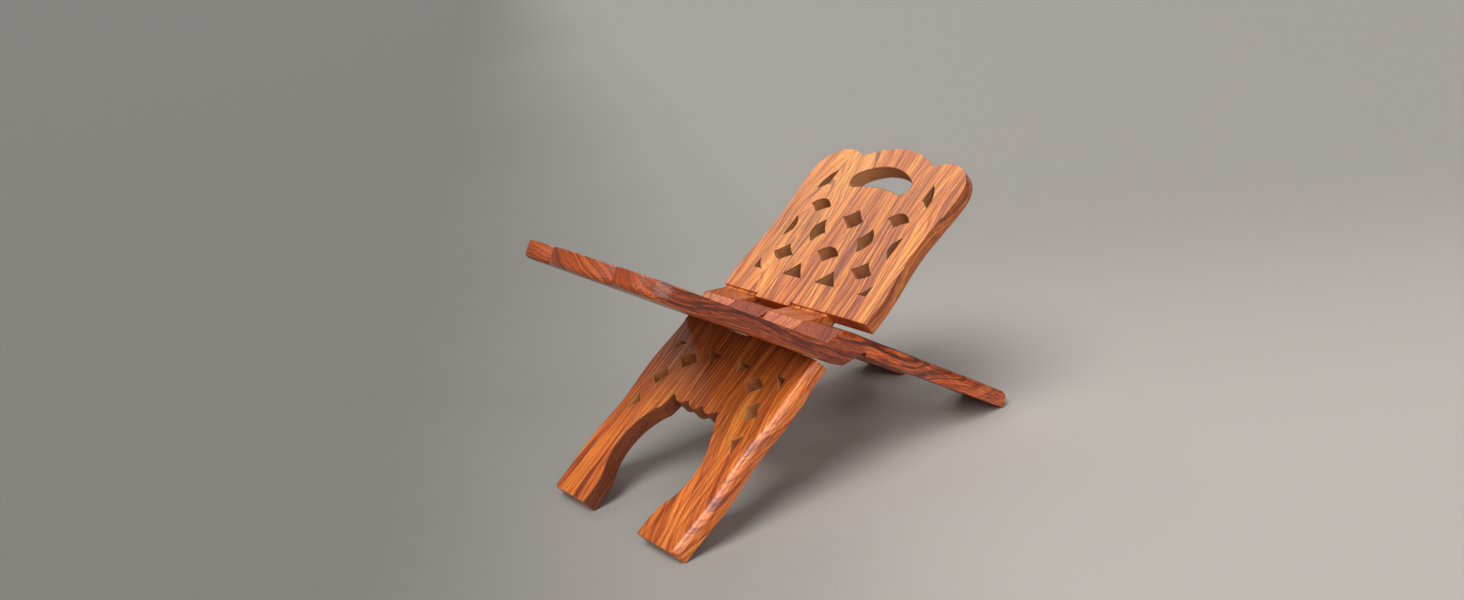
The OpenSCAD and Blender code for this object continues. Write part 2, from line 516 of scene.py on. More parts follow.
class Recipe:
    """Short hand for laying out the nodes of one finish."""

    def __init__(self, name: str) -> None:
        """Starts an empty material.

        Args:
            name: Name of the material.
        """
        self.material = bpy.data.materials.new(name)
        self.material.use_nodes = True
        self.tree = self.material.node_tree
        self.tree.nodes.clear()

    def node(self, kind: str, inputs: Optional[dict] = None, **settings) -> bpy.types.Node:
        """A new node.

        Args:
            kind: Its type without the ShaderNode prefix.
            inputs: Values or sockets by input name or number.
            **settings: The node's own settings.

        Returns:
            The node.
        """
        made = self.tree.nodes.new("ShaderNode" + kind)
        for key, value in settings.items():
            setattr(made, key, value)
        for key, value in (inputs or {}).items():
            self.put(made.inputs[key], value)
        return made

    def put(self, socket: bpy.types.NodeSocket, value: object) -> None:
        """Links a socket to an input, or sets the input's value.

        Args:
            socket: The input.
            value: A socket to link, or a plain value; three numbers make a solid colour.
        """
        if isinstance(value, bpy.types.NodeSocket):
            self.tree.links.new(value, socket)
        elif isinstance(value, tuple) and len(value) == 3 and socket.type == "RGBA":
            socket.default_value = (*value, 1.0)
        else:
            socket.default_value = value

    def sum(self, operation: str, *values: object) -> bpy.types.NodeSocket:
        """A sum of numbers.

        Args:
            operation: What is done with them.
            *values: The numbers.

        Returns:
            The result.
        """
        inputs = dict(enumerate(values))
        return self.node("Math", inputs, operation=operation).outputs[0]

    def point(self, x: object, y: object, z: object) -> bpy.types.NodeSocket:
        """A vector from three numbers."""
        return self.node("CombineXYZ", {0: x, 1: y, 2: z}).outputs[0]

    def product(self, *values: object) -> bpy.types.NodeSocket:
        """Numbers multiplied together.

        Args:
            *values: The numbers, at least two.

        Returns:
            Their product.
        """
        made = values[0]
        for value in values[1:]:
            made = self.sum("MULTIPLY", made, value)
        return made

    def stretched(
        self, place: bpy.types.NodeSocket, scale: Triple, shift: Triple
    ) -> bpy.types.NodeSocket:
        """A place scaled by axis and shifted.

        Args:
            place: The vector.
            scale: Scale of each axis.
            shift: Shift of each axis after scaling.

        Returns:
            The new vector.
        """
        return self.node(
            "VectorMath", {0: place, 1: scale, 2: shift}, operation="MULTIPLY_ADD"
        ).outputs[0]

    def noise(
        self, place: bpy.types.NodeSocket, detail: float, rough: float, colour: bool = False
    ) -> bpy.types.NodeSocket:
        """Soft noise at a scaled place.

        Args:
            place: The place.
            detail: Number of finer layers.
            rough: Strength of the finer layers.
            colour: True for three numbers in place of one.

        Returns:
            The noise, about a half.
        """
        made = self.node(
            "TexNoise", {"Vector": place, "Scale": 1.0, "Detail": detail, "Roughness": rough}
        )
        return made.outputs[1 if colour else 0]

    def spread(
        self,
        value: object,
        low: float,
        high: float,
        to_low: float = 0.0,
        to_high: float = 1.0,
        soft: bool = True,
    ) -> bpy.types.NodeSocket:
        """A number moved from one range to another and held there.

        Args:
            value: The number.
            low: Start of its range.
            high: End of its range.
            to_low: Result at the start.
            to_high: Result at the end.
            soft: True to ease in and out.

        Returns:
            The new number.
        """
        return self.node(
            "MapRange",
            {0: value, 1: low, 2: high, 3: to_low, 4: to_high},
            interpolation_type="SMOOTHSTEP" if soft else "LINEAR",
        ).outputs[0]

    def shade(
        self, value: bpy.types.NodeSocket, stops: Sequence[tuple[float, Colour]]
    ) -> bpy.types.NodeSocket:
        """A colour looked up along a row of shades.

        Args:
            value: Place along the row.
            stops: Places and colours.

        Returns:
            The colour.
        """
        made = self.node("ValToRGB", {0: value})
        row = made.color_ramp
        while len(row.elements) < len(stops):
            row.elements.new(0.5)
        for element, (at, colour) in zip(row.elements, stops):
            element.position = at
            element.color = (*colour, 1.0)
        return made.outputs[0]

    def blend(self, share: object, a: object, b: object, how: str = "MIX") -> bpy.types.NodeSocket:
        """Two colours mixed.

        Args:
            share: How much of the second.
            a: First colour.
            b: Second colour.
            how: The Mix node's blend type.

        Returns:
            The mixed colour.
        """
        return self.node(
            "Mix", {0: share, 6: a, 7: b}, data_type="RGBA", blend_type=how
        ).outputs[2]

    def surface(self, inputs: dict) -> bpy.types.Material:
        """Ends the recipe with its shader.

        Args:
            inputs: Values or sockets of the shader by name.

        Returns:
            The finished material.
        """
        shader = self.node("BsdfPrincipled", inputs)
        out = self.node("OutputMaterial")
        self.tree.links.new(shader.outputs[0], out.inputs[0])
        return self.material


@dataclass(frozen=True)
class Spot:
    """Where a point lies in its leaf, in mm: the whole place, and u, v and w apart."""

    place: bpy.types.NodeSocket
    u: bpy.types.NodeSocket
    v: bpy.types.NodeSocket
    w: bpy.types.NodeSocket


@dataclass(frozen=True)
class Figure:
    """Noises that make up the look of the wood, each about a half."""

    broad: bpy.types.NodeSocket
    narrow: bpy.types.NodeSocket
    lines: bpy.types.NodeSocket
    fibre: bpy.types.NodeSocket
    hair: bpy.types.NodeSocket
    pore: bpy.types.NodeSocket


@dataclass(frozen=True)
class Rosewood:
    """Oiled rosewood, sawn beside the tree's pith so that its rings show as tall arches.

    Distances are in mm, in the leaf's own u, v and w. The pith runs nearly along v. A pair of
    numbers gives where a change starts and where it is full.
    """

    name: str
    shift: float = 0.0

    # The tree: where its pith runs and how straight it grew.
    pith_u: float = -38.0
    pith_lean: float = -0.08
    pith_w: float = -1.0
    pith_rise: float = -0.11
    pith_bend: float = -0.0003
    fan: float = 0.70
    fan_v: Point = (-160.0, -60.0)
    slant: float = 1.15
    wander_scale: Triple = (0.020, 0.0085, 0.03)
    wander_u: float = 34.0
    wander_w: float = 22.0
    ripple_scale: Triple = (0.11, 0.030, 0.11)
    ripple: float = 5.0

    # The figure: how fine it is across the rings and along the leaf.
    broad_scale: Point = (0.17, 0.0045)
    narrow_scale: Point = (0.72, 0.010)
    lines_scale: Point = (0.70, 0.008)
    fibre_scale: Triple = (1.20, 0.020, 1.20)
    hair_scale: Triple = (2.6, 0.050, 2.6)
    pore_scale: Triple = (3.4, 0.26, 3.4)

    # The colours, from the darkest wood to the lightest.
    shades: tuple[Colour, ...] = (
        (0.230, 0.050, 0.016),
        (0.470, 0.112, 0.024),
        (0.700, 0.195, 0.034),
        (0.850, 0.305, 0.056),
        (0.940, 0.450, 0.115),
    )
    stops: tuple[float, ...] = (0.30, 0.41, 0.49, 0.58, 0.70)
    middle: float = 0.48
    broad_share: float = 0.42
    narrow_share: float = 0.70
    fibre_share: float = 0.80
    line: Colour = (0.150, 0.040, 0.024)
    line_share: float = 0.85
    line_range: Point = (0.53, 0.61)
    line_band: Point = (0.36, 0.58)
    line_in_light: float = 0.45
    hair_share: float = 0.42
    hair_range: Point = (0.54, 0.68)
    pore_share: float = 0.55
    pore_range: Point = (0.66, 0.72)

    # A golden streak up the panel.
    gold: Colour = (0.800, 0.390, 0.090)
    gold_u: float = -40.0
    gold_half: Point = (30.0, 8.0)
    gold_v: Point = (20.0, 55.0)
    gold_lift: float = 0.04
    gold_share: float = 0.20

    # Bare sawn walls, with the arch walls painted dark as painted shade, and a painted line of
    # shade along their rims where they meet the faces.
    wall_tone_and_shade: Colour = (1.0, 1.0, 1.0)
    wall_tone_and_shade_share: float = 0.0
    rim_shade_w: Point = (1.5, 0.5)
    rim_shade_share: float = 0.70

    # Redder and darker parts of the leaf: the legs' redder tone is partly the wood's own and
    # partly painted shade; the darker feet, hinge and panel sides are painted shade.
    heart_tone_and_shade: Colour = (1.0, 0.80, 0.62)
    heart_tone_and_shade_v: Point = (14.0, -26.0)
    # Painted shade towards the feet.
    foot: Colour = (0.84, 0.80, 0.72)
    foot_shade_lean: float = 0.5
    foot_shade_v: Point = (-95.0, -165.0)
    # Painted shade round the hinge.
    hinge_shade: Colour = (0.84, 0.64, 0.50)
    heel_v: Point = (24.0, 12.0)
    # Painted shade on the panel's faces that look along the hinge.
    flank_shade: Colour = (0.62, 0.48, 0.38)
    flank_shade_facing: Point = (0.55, 0.95)
    flank_shade_v: Point = (4.0, 30.0)
    end_facing: Point = (0.45, 0.95)
    end_share: float = 0.45

    # The polish and the relief.
    roughness: float = 0.38
    rough_range: float = -0.25
    end_rough: float = 0.12
    coat: float = 0.45
    coat_roughness: float = 0.20
    specular: float = 0.4
    relief: float = 0.00012
    relief_strength: float = 0.55
    pore_depth: float = -0.8
    hair_height: float = 0.35
    tooling: float = 0.0
    tool_scale: Triple = (0.45, 0.45, 0.10)

    def spot(self, r: Recipe, stance: Matrix) -> Spot:
        """Turns the stand's own frame back into the leaf's u, v and w.

        Args:
            r: The recipe.
            stance: The leaf's place in the stand.

        Returns:
            The point's place in the leaf.
        """
        place = r.node(
            "Mapping",
            {
                "Vector": r.node("TexCoord").outputs["Object"],
                "Location": stance.to_translation(),
                "Rotation": stance.to_euler(),
                "Scale": (MM, MM, MM),
            },
            vector_type="TEXTURE",
        ).outputs[0]
        split = r.node("SeparateXYZ", {0: place}).outputs
        return Spot(place, split[0], split[1], split[2])

    def ring(self, r: Recipe, at: Spot) -> bpy.types.NodeSocket:
        """The ring that a point lies in, by its distance from the pith.

        The tree never grew quite straight: the rings wander slowly and ripple a little.

        Args:
            r: The recipe.
            at: The point.

        Returns:
            The ring's radius.
        """
        s = self.shift
        wander = r.noise(r.stretched(at.place, self.wander_scale, (s, s, s)), 1.5, 0.5, True)
        wander = r.node("SeparateXYZ", {0: wander}).outputs
        ripple = r.noise(r.stretched(at.place, self.ripple_scale, (s, 3 + s, 1)), 2.0, 0.5)
        off_u = r.sum("MULTIPLY_ADD", wander[0], self.wander_u, -self.wander_u / 2)
        off_w = r.sum("MULTIPLY_ADD", wander[1], self.wander_w, -self.wander_w / 2)
        off_r = r.sum("MULTIPLY_ADD", ripple, self.ripple, -self.ripple / 2)

        centre = r.sum("MULTIPLY_ADD", at.v, self.pith_lean, self.pith_u)
        fan = r.spread(at.v, *self.fan_v, self.fan, 1.0, False)
        across = r.product(r.sum("SUBTRACT", at.u, centre), fan)
        across = r.sum("ADD", across, off_u)
        depth = r.sum("MULTIPLY_ADD", at.v, self.pith_bend, self.pith_rise)
        depth = r.sum("MULTIPLY_ADD", at.v, depth, self.pith_w)
        depth = r.sum("ADD", r.sum("SUBTRACT", at.w, depth), off_w)
        ring = r.sum("SQRT", r.sum("ADD", r.product(across, across), r.product(depth, depth)))
        ring = r.sum("ADD", ring, off_r)
        return r.sum("MULTIPLY_ADD", at.w, self.slant, ring)

    def figure(self, r: Recipe, at: Spot) -> Figure:
        """Broad bands of colour, the dark lines between them, fine streaks, fibres and pores.

        Args:
            r: The recipe.
            at: The point.

        Returns:
            The noises.
        """
        s = self.shift
        ring = self.ring(r, at)

        def banded(
            scale: Point, seed: float, detail: float, rough: float
        ) -> bpy.types.NodeSocket:
            """Noise that runs along the rings."""
            spot = r.point(r.product(ring, scale[0]), r.product(at.v, scale[1]), seed)
            return r.noise(spot, detail, rough)

        return Figure(
            broad=banded(self.broad_scale, s, 2.0, 0.55),
            narrow=banded(self.narrow_scale, s + 7, 3.0, 0.6),
            lines=banded(self.lines_scale, s + 13, 2.0, 0.5),
            fibre=r.noise(r.stretched(at.place, self.fibre_scale, (s, 5, 2)), 3.0, 0.6),
            hair=r.noise(r.stretched(at.place, self.hair_scale, (2, s, 9)), 2.0, 0.6),
            pore=r.noise(r.stretched(at.place, self.pore_scale, (5, 1, s)), 1.0, 0.5),
        )

    def fresh(self, r: Recipe, at: Spot, figure: Figure) -> bpy.types.NodeSocket:
        """Colour of the freshly planed wood.

        Args:
            r: The recipe.
            at: The point.
            figure: The wood's noises.

        Returns:
            The colour.
        """
        zone = r.sum("ABSOLUTE", r.sum("SUBTRACT", at.u, self.gold_u))
        zone = r.product(r.spread(zone, *self.gold_half), r.spread(at.v, *self.gold_v))
        value = r.sum(
            "MULTIPLY_ADD", r.sum("SUBTRACT", figure.broad, 0.5), self.broad_share, self.middle
        )
        value = r.sum("MULTIPLY_ADD", zone, self.gold_lift, value)
        for noise, share in (
            (figure.narrow, self.narrow_share),
            (figure.fibre, self.fibre_share),
        ):
            value = r.sum("MULTIPLY_ADD", r.sum("SUBTRACT", noise, 0.5), share, value)
        colour = r.shade(value, list(zip(self.stops, self.shades)))
        colour = r.blend(r.product(zone, self.gold_share), colour, self.gold)
        dark = r.spread(figure.lines, *self.line_range)
        dark = r.product(dark, r.spread(figure.broad, *self.line_band, 1.0, self.line_in_light))
        colour = r.blend(r.product(dark, self.line_share), colour, self.line)
        hairs = r.spread(figure.hair, *self.hair_range, 0.0, self.hair_share)
        colour = r.blend(hairs, colour, self.line)
        holes = r.spread(figure.pore, *self.pore_range)
        return r.blend(r.product(holes, self.pore_share), colour, self.shades[0])

    def aged(
        self, r: Recipe, at: Spot, stance: Matrix, colour: bpy.types.NodeSocket
    ) -> bpy.types.NodeSocket:
        """The colour after sawing and oiling, with painted shade on the arch walls, the sawn rims,
        the legs in part, the feet, round the hinge and on the panel's sides.

        Args:
            r: The recipe.
            at: The point.
            stance: The leaf's place in the stand.
            colour: Colour of the freshly planed wood.

        Returns:
            The colour.
        """
        # Sawn walls are barer, with a painted line of shade along their rims.
        if self.wall_tone_and_shade_share:
            # The wall colour: bare wood on the fretted walls, painted shade on the arch walls.
            colour = r.blend(self.wall_tone_and_shade_share, colour, self.wall_tone_and_shade)
            rim_shade = r.spread(r.sum("ABSOLUTE", at.w), *self.rim_shade_w, 0.0, self.rim_shade_share)
            colour = r.blend(rim_shade, colour, self.line)

        # The legs are redder, partly the wood's own tone and partly painted shade from the other
        # leaf's panel above them; painted shade also darkens the feet, more on the leaf's low-u
        # side.
        redder = r.blend(1.0, colour, self.heart_tone_and_shade, "MULTIPLY")
        colour = r.blend(r.spread(at.v, *self.heart_tone_and_shade_v), colour, redder)
        darker = r.blend(1.0, colour, self.foot, "MULTIPLY")
        low = r.spread(r.sum("MULTIPLY_ADD", at.u, self.foot_shade_lean, at.v), *self.foot_shade_v)
        colour = r.blend(low, colour, darker)

        # Painted shade round the hinge, and on the panel's faces that look along the hinge.
        painted_shade = r.blend(1.0, colour, self.hinge_shade, "MULTIPLY")
        colour = r.blend(r.spread(r.sum("ABSOLUTE", at.v), *self.heel_v), colour, painted_shade)
        # Painted shade on the faces that look along the hinge, above the knuckles.
        sides = r.spread(self.facing(r, stance, Vector((1, 0, 0))), *self.flank_shade_facing)
        painted_shade = r.blend(1.0, colour, self.flank_shade, "MULTIPLY")
        return r.blend(r.product(sides, r.spread(at.v, *self.flank_shade_v)), colour, painted_shade)

    def facing(self, r: Recipe, stance: Matrix, way: Vector) -> bpy.types.NodeSocket:
        """How squarely a face looks along a direction of the leaf, either way.

        Args:
            r: The recipe.
            stance: The leaf's place in the stand.
            way: The direction in u, v and w.

        Returns:
            One where the face is square to it, nought where it lies along it.
        """
        normal = r.node("TexCoord").outputs["Normal"]
        turned = r.node(
            "VectorMath", {0: normal, 1: stance.to_3x3() @ way}, operation="DOT_PRODUCT"
        ).outputs[1]
        return r.sum("ABSOLUTE", turned)

    def height(self, r: Recipe, at: Spot, figure: Figure) -> bpy.types.NodeSocket:
        """Fibres that stand up, pores that sink in, and the marks of the saw.

        Args:
            r: The recipe.
            at: The point.
            figure: The wood's noises.

        Returns:
            The relief.
        """
        holes = r.spread(figure.pore, *self.pore_range)
        rise = r.sum("MULTIPLY_ADD", figure.hair, self.hair_height, figure.fibre)
        rise = r.sum("MULTIPLY_ADD", holes, self.pore_depth, rise)
        if self.tooling:
            s = self.shift
            marks = r.noise(r.stretched(at.place, self.tool_scale, (s, s, s)), 3.0, 0.7)
            rise = r.sum("MULTIPLY_ADD", marks, self.tooling, rise)
        return rise

    def material(self, stance: Matrix) -> bpy.types.Material:
        """Lays out the wood: rings, streaks, fibres, pores and their relief.

        Args:
            stance: The leaf's place, which turns the stand's own frame into u, v and w.

        Returns:
            The finished material.
        """
        r = Recipe(self.name)
        at = self.spot(r, stance)
        figure = self.figure(r, at)
        colour = self.aged(r, at, stance, self.fresh(r, at, figure))

        # Wood cut across its fibres drinks more oil and goes darker.
        end_grain = r.spread(self.facing(r, stance, Vector((0, 1, 0))), *self.end_facing)
        colour = r.blend(r.product(end_grain, self.end_share), colour, self.shades[1])
        streak = r.sum("SUBTRACT", figure.narrow, 0.5)
        gloss = r.sum("MULTIPLY_ADD", streak, self.rough_range, self.roughness)
        gloss = r.sum("MULTIPLY_ADD", end_grain, self.end_rough, gloss)
        bump = r.node(
            "Bump",
            {
                "Height": self.height(r, at, figure),
                "Strength": self.relief_strength,
                "Distance": self.relief,
            },
        )
        return r.surface(
            {
                "Base Color": colour,
                "Roughness": gloss,
                "Normal": bump.outputs[0],
                "Coat Weight": self.coat,
                "Coat Roughness": self.coat_roughness,
                "Specular IOR Level": self.specular,
            }
        )


@dataclass(frozen=True)
class Paper:
    """Matt grey studio paper with painted light and shade: lighter towards one side of the room,
    darker towards the back. Distances in metres.
    """

    name: str = "studio_paper_painted_light"
    shade_grey: Colour = (0.185, 0.185, 0.171)
    lit_grey: Colour = (0.468, 0.437, 0.410)
    light_way: Point = (0.43, 0.90)
    light_range: Point = (-0.24, 0.17)
    back_shade_way: Point = (-0.76, 0.65)
    back_shade_range: Point = (-0.10, 0.55)
    back_shade_share: float = 0.48
    cloud_scale: float = 1.3
    cloud_share: float = 0.1
    tooth_scale: float = 900.0
    tooth: float = 0.0001
    tooth_strength: float = 0.15
    roughness: float = 0.85

    def material(self) -> bpy.types.Material:
        """Lays out the paper.

        Returns:
            The finished material.
        """
        r = Recipe(self.name)
        place = r.node("TexCoord").outputs["Object"]
        split = r.node("SeparateXYZ", {0: place}).outputs
        x, y = split[0], split[1]
        # Painted light: the paper goes from a painted shade grey to a lit grey across the room,
        # with a cloudy edge.
        way = r.sum("ADD", r.product(x, self.light_way[0]), r.product(y, self.light_way[1]))
        cloud_at = r.stretched(place, (self.cloud_scale,) * 3, (4.0, 2.0, 0.0))
        way = r.sum("MULTIPLY_ADD", r.noise(cloud_at, 2.0, 0.5), self.cloud_share, way)
        colour = r.blend(r.spread(way, *self.light_range), self.shade_grey, self.lit_grey)
        # Painted shade towards the back of the room.
        back = r.sum("ADD", r.product(y, self.back_shade_way[1]), r.product(x, self.back_shade_way[0]))
        colour = r.blend(r.spread(back, *self.back_shade_range, 0.0, self.back_shade_share), colour, self.shade_grey)
        tooth = r.noise(r.stretched(place, (self.tooth_scale,) * 3, (0.0,) * 3), 2.0, 0.6)
        bump = r.node(
            "Bump", {"Height": tooth, "Strength": self.tooth_strength, "Distance": self.tooth}
        )
        return r.surface(
            {"Base Color": colour, "Roughness": self.roughness, "Normal": bump.outputs[0]}
        )


# ---------------------------------------------------------------------------------------------
# The parts of a leaf
# ---------------------------------------------------------------------------------------------


@dataclass(frozen=True)
class Plank:
    """The plank that both leaves come from, and how they stand. Sizes in mm and degrees."""

    width: float = 145.0
    leaf_t: float = 11.0
    split_gap: float = 0.3
    open_angle: float = 34.3
    foot_flat: float = 0.5
    leg_v: float = 153.2
    back_cut: float = 19.3
    stop_gap: float = 0.16
    knuckles: int = 4
    kerf: float = 0.6

    @property
    def front_cut(self) -> float:
        """Distance from the hinge line to the edges that stop the open stand."""
        return self.leaf_t / math.tan(math.radians(self.open_angle)) + self.stop_gap

    @property
    def pitch(self) -> float:
        """Width of one knuckle with half a saw cut on each side."""
        return self.width / self.knuckles

    @property
    def hinge_z(self) -> float:
        """Height of the hinge line above the table."""
        return self.leg_v * math.sin(math.radians(self.open_angle)) - self.foot_flat

    def stance(self, side: Side) -> Matrix:
        """The place of a leaf in the open stand.

        Args:
            side: Which leaf.

        Returns:
            The matrix from the leaf's own u, v and w to the stand, in metres.
        """
        tilt = Matrix.Rotation(math.radians(self.open_angle), 4, "X")
        lift = Matrix.Translation((0, 0, self.hinge_z * MM))
        turn = Matrix.Rotation(math.pi, 4, "Z") if side is Side.FRONT else Matrix.Identity(4)
        return turn @ lift @ tilt


@dataclass(frozen=True)
class BookPanel:
    """The pierced upper half of a leaf, with its crest and hand slot. Sizes in mm."""

    plank: Plank
    cut: float
    crest_v: float = 151.8
    half: float = 73.0
    wave: float = 1.8
    swell_v: float = 32.7
    shoulder_v: float = 122.0
    lobe_v: float = 145.6
    lobe_u: float = 51.0
    notch_u: float = 35.4
    notch_v: float = 141.2
    handle_half: float = 29.0
    handle_top_v: float = 135.0
    handle_hump_v: float = 117.8
    handle_end_r: float = 6.4
    handle_arch_r: float = 45.0
    handle_sag: float = 2.9
    handle_top_gap: float = 0.6
    handle_turn: float = 52.0
    handle_blend: float = 3.0
    handle_steps: int = 14
    handle_ease: float = 0.8
    handle_wobble: float = 0.05
    outer_ease: float = 3.2
    inner_ease: float = 0.6
    edge_ease: float = 0.35
    lip_drop: float = 2.9
    lip_lap: float = 2.0
    lip_depth: float = 0.2
    lip_ease: float = 0.3
    side_steps: int = 30
    corner_steps: int = 24
    lobe_steps: int = 8
    crest_steps: int = 16
    crest_start: float = 1.5
    pairs: tuple[tuple[Corner, ...], ...] = (
        ((47.9, 126.3, 0), (47.9, 114, 0), (55.6, 108.5, 2.2)),
        ((29.4, 95.5, -0.6), (39.8, 89.6, -0.6), (49.7, 95.5, 5.6)),
        ((16.5, 75.2, -0.8), (23.7, 66.4, 6.6), (23.7, 85, -0.8)),
        ((53.9, 66.4, 0), (54.1, 83.5, 5.4)),
        ((30.6, 53.2, -0.2), (40.3, 47.4, 0.9), (50, 52.8, -0.6), (40.6, 60.8, -0.6)),
        ((7.5, 37.8, 0), (27, 37.8, -0.5), (17.3, 48.6, -0.2)),
        ((50.4, 37.5, 0), (58, 37.5, 0), (58, 45.4, -0.9)),
    )
    middles: tuple[tuple[Corner, ...], ...] = (
        ((-10.4, 89.8, -0.2), (1.2, 82.1, 1.2), (10.1, 89.2, -0.5), (-0.2, 97.6, -0.8)),
        ((-10.7, 60.2, -0.5), (0.4, 53.6, -0.5), (10.7, 60.1, 5.5)),
    )

    def edge(self, v: float) -> float:
        """Half width of the wavy panel at a height."""
        length = self.shoulder_v - self.swell_v
        return self.half + self.wave * math.cos(2 * math.pi * (v - self.swell_v) / length)

    def outline(self) -> Outline:
        """The panel's own outline.

        Returns:
            The outline, with its outer edges rounded over more than its inner ones.
        """
        notch_rise = self.crest_v - self.notch_v
        crest_r = (self.notch_u**2 + notch_rise**2) / (2 * notch_rise)
        lobe_rise = self.lobe_v - self.notch_v
        lobe_w = self.lobe_u - self.notch_u
        lobe_r = (lobe_w**2 + lobe_rise**2) / (2 * lobe_rise)
        reach = self.half + self.wave - self.lobe_u
        rise = self.lobe_v - self.shoulder_v
        side = []
        for i in range(self.side_steps):
            v = self.cut + (self.shoulder_v - self.cut) * i / self.side_steps
            side.append((self.edge(v), v))
        for i in range(self.corner_steps):
            a = math.radians(90 * i / self.corner_steps)
            side.append((self.lobe_u + reach * math.cos(a), self.shoulder_v + rise * math.sin(a)))
        lobe_end = 90 + math.degrees(math.asin(lobe_w / lobe_r))
        lobe_middle = (self.lobe_u, self.lobe_v - lobe_r)
        side += arc(lobe_middle, lobe_r, 90, lobe_end, self.lobe_steps)
        crest_a = 90 - math.degrees(math.asin(self.notch_u / crest_r)) + self.crest_start
        side += arc((0, self.crest_v - crest_r), crest_r, crest_a, 90, self.crest_steps)
        corner = self.outer_ease + CORNER_SPARE
        bottom = (self.edge(self.cut) - corner, self.cut)
        points = tidied([bottom, *side, *mirrored(side), (-bottom[0], self.cut)])
        count = len(points)
        low, high = [], []
        for i, p in enumerate(points):
            q = points[(i + 1) % count]
            flat = max(abs(p[1] - self.cut), abs(q[1] - self.cut)) < LEVEL
            low.append(self.edge_ease if flat else self.outer_ease)
            high.append(self.edge_ease if flat else self.inner_ease)
        return Outline(points, low, high, [Surface.PLANED] * count)

    def handle(self) -> Outline:
        """The kidney-shaped hand slot.

        Returns:
            The slot's outline.
        """
        end_u = self.handle_half - self.handle_end_r
        end_v = self.handle_hump_v - self.handle_sag + self.handle_end_r
        top_a = math.degrees(math.acos((end_u + self.handle_top_gap) / self.handle_arch_r))
        hump_r = (end_u**2 + self.handle_sag**2) / (2 * self.handle_sag)
        hump_a = math.degrees(math.asin(end_u / hump_r))
        steps = self.handle_steps
        right = arc((end_u, end_v), self.handle_end_r, -90, self.handle_turn, steps - 2)
        top = (0, self.handle_top_v - self.handle_arch_r)
        right += arc(top, self.handle_arch_r, top_a, 90, steps)
        from_a = 90 + hump_a - self.handle_blend
        to_a = 90 - hump_a + self.handle_blend
        hump = arc((0, self.handle_hump_v - hump_r), hump_r, from_a, to_a, steps)
        points = tidied([*right, *mirrored(right), *hump])
        return Outline.plain(
            points, self.handle_ease, Surface.FRETTED, True, self.handle_wobble
        )

    def piercings(self) -> list[Outline]:
        """The carved pattern of small openings.

        Returns:
            Their outlines, the pairs on one side first.
        """
        shapes = [cut_out(c, FRET_STEPS) for c in self.pairs]
        shapes += [mirrored(s) for s in shapes]
        shapes += [cut_out(c, FRET_STEPS) for c in self.middles]
        return [fretted(s) for s in shapes]

    def lip(self, name: str) -> bpy.types.Object:
        """The short lip that closes the panel's lower edge over the second knuckle.

        Args:
            name: Name of the object.

        Returns:
            The lip.
        """
        kerf = self.plank.kerf / 2
        left, right = -self.plank.pitch + kerf, -kerf
        low, high = self.cut - self.lip_drop, self.cut + self.lip_lap
        points = [(left, low), (right, low), (right, high), (left, high)]
        line = Outline.plain(points, self.lip_ease, Surface.PLANED, False, 0.0)
        floor = -self.plank.leaf_t + self.lip_depth
        return slab(name, [line], floor, -self.plank.split_gap / 2, seed=7)

    def build(self, name: str) -> bpy.types.Object:
        """Makes the panel.

        Args:
            name: Name of the object.

        Returns:
            The panel, lying flat.
        """
        lines = [self.outline(), self.handle(), *self.piercings()]
        return slab(name, lines, -self.plank.leaf_t, -self.plank.split_gap / 2, seed=3)


